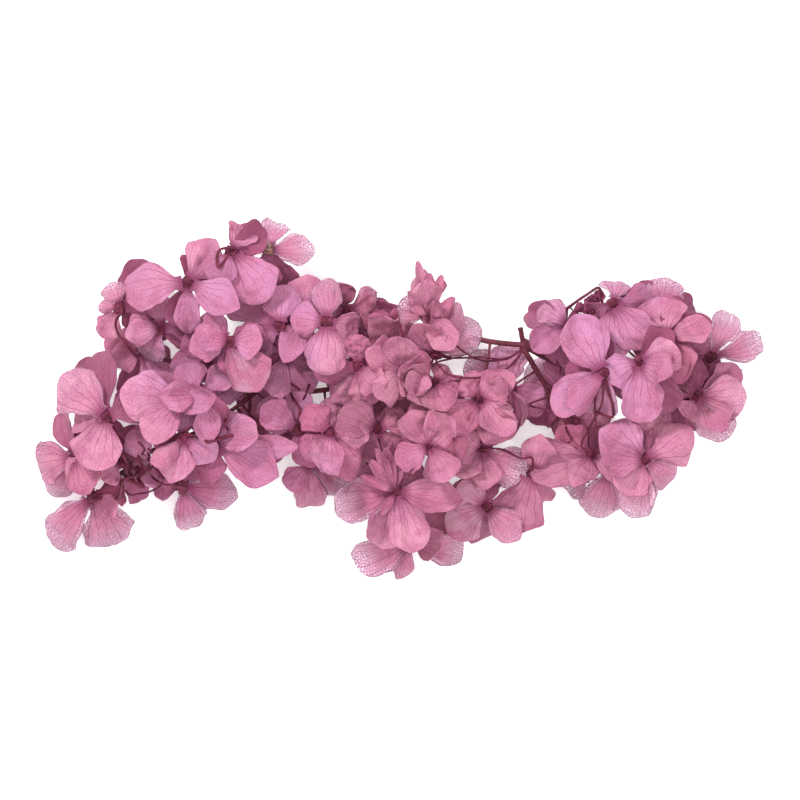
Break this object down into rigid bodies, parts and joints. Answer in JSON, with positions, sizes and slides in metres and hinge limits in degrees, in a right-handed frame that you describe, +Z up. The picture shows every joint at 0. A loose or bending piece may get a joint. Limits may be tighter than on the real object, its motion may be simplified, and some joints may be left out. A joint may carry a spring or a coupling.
{
  "type": "dried hydrangea spray",
  "caption": "cut spray from a dried, dyed hydrangea head, lying on its side: mauve-pink papery florets of broad sepals on thin stalks along forking maroon stems",
  "frame": {"origin": "on the surface that the spray lies on, under the middle of its bounding box", "axes": "+X runs along the spray, towards the cut end's side. +Y runs across it. +Z is up, away from the surface and towards the camera."},
  "size_m": [0.2194, 0.1082, 0.0436],
  "materials": {
    "sepal": "dry, matt and papery, dyed mauve-pink, with darker veins and paler net edges",
    "stem": "dry, matt, dyed dark maroon"
  },
  "bodies": {
    "root": {"floret_01": "sepal", "floret_02": "sepal", "floret_03": "sepal", "floret_04": "sepal", "floret_05": "sepal", "floret_06": "sepal", "floret_07": "sepal", "floret_08": "sepal", "floret_09": "sepal", "floret_10": "sepal", "floret_11": "sepal", "floret_12": "sepal", "floret_13": "sepal", "floret_14": "sepal", "floret_15": "sepal", "floret_16": "sepal", "floret_17": "sepal", "floret_18": "sepal", "floret_19": "sepal", "floret_20": "sepal", "floret_21": "sepal", "floret_22": "sepal", "floret_23": "sepal", "floret_24": "sepal", "floret_25": "sepal", "floret_26": "sepal", "floret_27": "sepal", "floret_28": "sepal", "floret_29": "sepal", "floret_30": "sepal", "floret_31": "sepal", "floret_32": "sepal", "floret_33": "sepal", "floret_34": "sepal", "floret_35": "sepal", "floret_36": "sepal", "floret_37": "sepal", "floret_38": "sepal", "floret_39": "sepal", "floret_40": "sepal", "floret_41": "sepal", "floret_42": "sepal", "floret_43": "sepal", "floret_44": "sepal", "floret_45": "sepal", "floret_46": "sepal", "floret_47": "sepal", "floret_48": "sepal", "floret_49": "sepal", "floret_50": "sepal", "floret_51": "sepal", "floret_52": "sepal", "floret_53": "sepal", "floret_54": "sepal", "floret_55": "sepal", "floret_56": "sepal", "floret_57": "sepal", "floret_58": "sepal", "floret_59": "sepal", "stem": "stem"}
  },
  "joints": []
}
